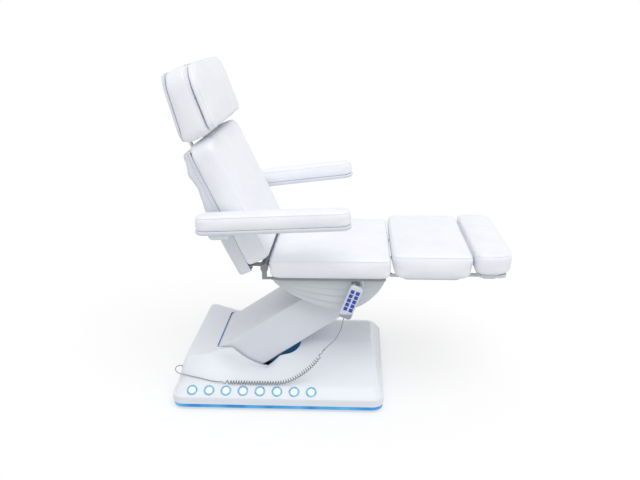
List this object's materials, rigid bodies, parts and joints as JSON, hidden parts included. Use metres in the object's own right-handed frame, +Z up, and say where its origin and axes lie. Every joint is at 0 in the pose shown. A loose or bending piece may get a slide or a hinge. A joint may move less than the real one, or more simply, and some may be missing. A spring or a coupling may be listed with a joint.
{
  "type": "facial bed",
  "caption": "Electric facial bed: padded seat, reclining back with headrest and armrests, leg and foot rests, on a lift arm over a lit base with foot buttons and a corded handset.",
  "frame": {"origin": "middle of the bed's plan on the floor, cord left out", "axes": "+X towards the foot end, +Y away from the side with the foot buttons, +Z up"},
  "size_m": [1.3917, 0.844, 1.4145],
  "materials": {
    "cover_plastic": "glossy white moulding",
    "shell_plastic": "glossy white moulding",
    "shroud_plastic": "satin light grey moulding",
    "white_leather": "soft white upholstery",
    "frame_paint": "satin grey paint on steel",
    "bright_steel": "bright plated steel",
    "motor_housing": "dark grey housing",
    "blue_light": "blue light guide",
    "button_plastic": "glossy white cap",
    "key_plastic": "dark blue keys",
    "handset_plastic": "light grey case",
    "rubber": "black rubber",
    "cord_plastic": "grey flexible sheath"
  },
  "bodies": {
    "base": {"base_frame": "frame_paint", "base_cover": "cover_plastic", "light_strip": "blue_light", "foot_rail_near": "rubber", "foot_rail_far": "rubber", "control_box": "motor_housing", "lift_motor": "motor_housing", "ring_lights": "blue_light", "cord_gland": "rubber", "handset_coil": "cord_plastic"},
    "lift_arm": {"lift_arm_frame": "frame_paint", "lift_arm_cover": "cover_plastic"},
    "lift_rod": {"lift_rod": "bright_steel"},
    "level_link": {"level_link": "frame_paint"},
    "carrier": {"seat_carrier": "frame_paint", "seat_shroud": "shroud_plastic", "tilt_motor": "motor_housing", "handset_hook": "bright_steel", "handset_case": "handset_plastic", "handset_lead": "cord_plastic"},
    "tilt_rod": {"tilt_rod": "bright_steel"},
    "seat": {"seat_frame": "frame_paint", "seat_cushion": "white_leather", "back_motor": "motor_housing", "leg_motor": "motor_housing"},
    "back_rod": {"back_rod": "bright_steel"},
    "leg_rod": {"leg_rod": "bright_steel"},
    "back": {"back_frame": "frame_paint", "back_shell": "shell_plastic", "back_cushion": "white_leather"},
    "head_slide": {"head_rods": "bright_steel"},
    "headrest": {"head_plate": "shell_plastic", "head_cushion": "white_leather", "head_pillow": "white_leather"},
    "armrest_near": {"armrest_near_tray": "shell_plastic", "armrest_near_pad": "white_leather"},
    "armrest_far": {"armrest_far_tray": "shell_plastic", "armrest_far_pad": "white_leather"},
    "leg_rest": {"leg_frame": "frame_paint", "leg_cushion": "white_leather"},
    "foot_rest": {"foot_frame": "frame_paint", "foot_cushion": "white_leather"},
    "foot_button_1": {"foot_button_1": "button_plastic"},
    "foot_button_2": {"foot_button_2": "button_plastic"},
    "foot_button_3": {"foot_button_3": "button_plastic"},
    "foot_button_4": {"foot_button_4": "button_plastic"},
    "foot_button_5": {"foot_button_5": "button_plastic"},
    "foot_button_6": {"foot_button_6": "button_plastic"},
    "foot_button_7": {"foot_button_7": "button_plastic"},
    "foot_button_8": {"foot_button_8": "button_plastic"},
    "key_1": {"key_1": "key_plastic"},
    "key_2": {"key_2": "key_plastic"},
    "key_3": {"key_3": "key_plastic"},
    "key_4": {"key_4": "key_plastic"},
    "key_5": {"key_5": "key_plastic"},
    "key_6": {"key_6": "key_plastic"},
    "key_7": {"key_7": "key_plastic"},
    "key_8": {"key_8": "key_plastic"},
    "key_9": {"key_9": "key_plastic"},
    "key_10": {"key_10": "key_plastic"}
  },
  "joints": [
    {"name": "lift", "type": "hinge", "parent": "base", "child": "lift_arm", "pos_m": [-0.463, 0, 0.117], "axis": [0, -1, 0], "range_deg": [0, 28]},
    {"name": "seat_level", "type": "hinge", "parent": "lift_arm", "child": "carrier", "pos_m": [-0.0177, 0, 0.42247], "axis": [0, -1, 0], "range_deg": [-28, 0]},
    {"name": "level_link", "type": "hinge", "parent": "base", "child": "level_link", "pos_m": [-0.463, 0, 0.177], "axis": [0, -1, 0], "range_deg": [0, 28]},
    {"name": "lift_rod", "type": "slide", "parent": "base", "child": "lift_rod", "axis": [1, 0, 0], "range_m": [0, 0.02904]},
    {"name": "seat_tilt", "type": "hinge", "parent": "carrier", "child": "seat", "pos_m": [-0.246, 0, 0.53447], "axis": [0, -1, 0], "range_deg": [0, 12]},
    {"name": "tilt_rod", "type": "slide", "parent": "carrier", "child": "tilt_rod", "axis": [0, 0, 1], "range_m": [0, 0.06808]},
    {"name": "back_recline", "type": "hinge", "parent": "seat", "child": "back", "pos_m": [-0.295, 0, 0.59997], "axis": [0, -1, 0], "range_deg": [0, 65]},
    {"name": "back_rod", "type": "slide", "parent": "seat", "child": "back_rod", "axis": [1, 0, 0], "range_m": [0, 0.07524]},
    {"name": "leg_drop", "type": "hinge", "parent": "seat", "child": "leg_rest", "pos_m": [0.22, 0, 0.55847], "axis": [0, 1, 0], "range_deg": [0, 75]},
    {"name": "leg_rod", "type": "slide", "parent": "seat", "child": "leg_rod", "axis": [-1, 0, 0], "range_m": [0, 0.0487]},
    {"name": "foot_slide", "type": "slide", "parent": "leg_rest", "child": "foot_rest", "axis": [1, 0, 0], "range_m": [0, 0.08]},
    {"name": "head_slide", "type": "slide", "parent": "back", "child": "head_slide", "axis": [-0.4147, 0, 0.91], "range_m": [0, 0.08]},
    {"name": "head_tilt", "type": "hinge", "parent": "head_slide", "child": "headrest", "pos_m": [-0.64084, 0, 1.17316], "axis": [0, -1, 0], "range_deg": [0, 30]},
    {"name": "armrest_near", "type": "hinge", "parent": "back", "child": "armrest_near", "pos_m": [-0.44564, 0, 0.77859], "axis": [0, -1, 0], "range_deg": [0, 95]},
    {"name": "armrest_far", "type": "hinge", "parent": "back", "child": "armrest_far", "pos_m": [-0.44564, 0, 0.77859], "axis": [0, -1, 0], "range_deg": [0, 95]},
    {"name": "foot_button_1", "type": "slide", "parent": "base", "child": "foot_button_1", "axis": [0, 0.6476, -0.7619], "range_m": [0, 0.004], "stiffness_N_per_m": 600, "springref_m": -0.002},
    {"name": "foot_button_2", "type": "slide", "parent": "base", "child": "foot_button_2", "axis": [0, 0.6476, -0.7619], "range_m": [0, 0.004], "stiffness_N_per_m": 600, "springref_m": -0.002},
    {"name": "foot_button_3", "type": "slide", "parent": "base", "child": "foot_button_3", "axis": [0, 0.6476, -0.7619], "range_m": [0, 0.004], "stiffness_N_per_m": 600, "springref_m": -0.002},
    {"name": "foot_button_4", "type": "slide", "parent": "base", "child": "foot_button_4", "axis": [0, 0.6476, -0.7619], "range_m": [0, 0.004], "stiffness_N_per_m": 600, "springref_m": -0.002},
    {"name": "foot_button_5", "type": "slide", "parent": "base", "child": "foot_button_5", "axis": [0, 0.6476, -0.7619], "range_m": [0, 0.004], "stiffness_N_per_m": 600, "springref_m": -0.002},
    {"name": "foot_button_6", "type": "slide", "parent": "base", "child": "foot_button_6", "axis": [0, 0.6476, -0.7619], "range_m": [0, 0.004], "stiffness_N_per_m": 600, "springref_m": -0.002},
    {"name": "foot_button_7", "type": "slide", "parent": "base", "child": "foot_button_7", "axis": [0, 0.6476, -0.7619], "range_m": [0, 0.004], "stiffness_N_per_m": 600, "springref_m": -0.002},
    {"name": "foot_button_8", "type": "slide", "parent": "base", "child": "foot_button_8", "axis": [0, 0.6476, -0.7619], "range_m": [0, 0.004], "stiffness_N_per_m": 600, "springref_m": -0.002},
    {"name": "key_1", "type": "slide", "parent": "carrier", "child": "key_1", "axis": [0, 1, 0], "range_m": [0, 0.0012], "stiffness_N_per_m": 400, "springref_m": -0.001},
    {"name": "key_2", "type": "slide", "parent": "carrier", "child": "key_2", "axis": [0, 1, 0], "range_m": [0, 0.0012], "stiffness_N_per_m": 400, "springref_m": -0.001},
    {"name": "key_3", "type": "slide", "parent": "carrier", "child": "key_3", "axis": [0, 1, 0], "range_m": [0, 0.0012], "stiffness_N_per_m": 400, "springref_m": -0.001},
    {"name": "key_4", "type": "slide", "parent": "carrier", "child": "key_4", "axis": [0, 1, 0], "range_m": [0, 0.0012], "stiffness_N_per_m": 400, "springref_m": -0.001},
    {"name": "key_5", "type": "slide", "parent": "carrier", "child": "key_5", "axis": [0, 1, 0], "range_m": [0, 0.0012], "stiffness_N_per_m": 400, "springref_m": -0.001},
    {"name": "key_6", "type": "slide", "parent": "carrier", "child": "key_6", "axis": [0, 1, 0], "range_m": [0, 0.0012], "stiffness_N_per_m": 400, "springref_m": -0.001},
    {"name": "key_7", "type": "slide", "parent": "carrier", "child": "key_7", "axis": [0, 1, 0], "range_m": [0, 0.0012], "stiffness_N_per_m": 400, "springref_m": -0.001},
    {"name": "key_8", "type": "slide", "parent": "carrier", "child": "key_8", "axis": [0, 1, 0], "range_m": [0, 0.0012], "stiffness_N_per_m": 400, "springref_m": -0.001},
    {"name": "key_9", "type": "slide", "parent": "carrier", "child": "key_9", "axis": [0, 1, 0], "range_m": [0, 0.0012], "stiffness_N_per_m": 400, "springref_m": -0.001},
    {"name": "key_10", "type": "slide", "parent": "carrier", "child": "key_10", "axis": [0, 1, 0], "range_m": [0, 0.0012], "stiffness_N_per_m": 400, "springref_m": -0.001}
  ],
  "couplings": [
    {"joint": "seat_level", "follows": "lift", "ratio": -1},
    {"joint": "level_link", "follows": "lift", "ratio": 1},
    {"joint": "lift_rod", "follows": "lift", "m_per_rad": 0.0594},
    {"joint": "tilt_rod", "follows": "seat_tilt", "m_per_rad": 0.325},
    {"joint": "back_rod", "follows": "back_recline", "m_per_rad": 0.06631},
    {"joint": "leg_rod", "follows": "leg_drop", "m_per_rad": 0.0372}
  ]
}
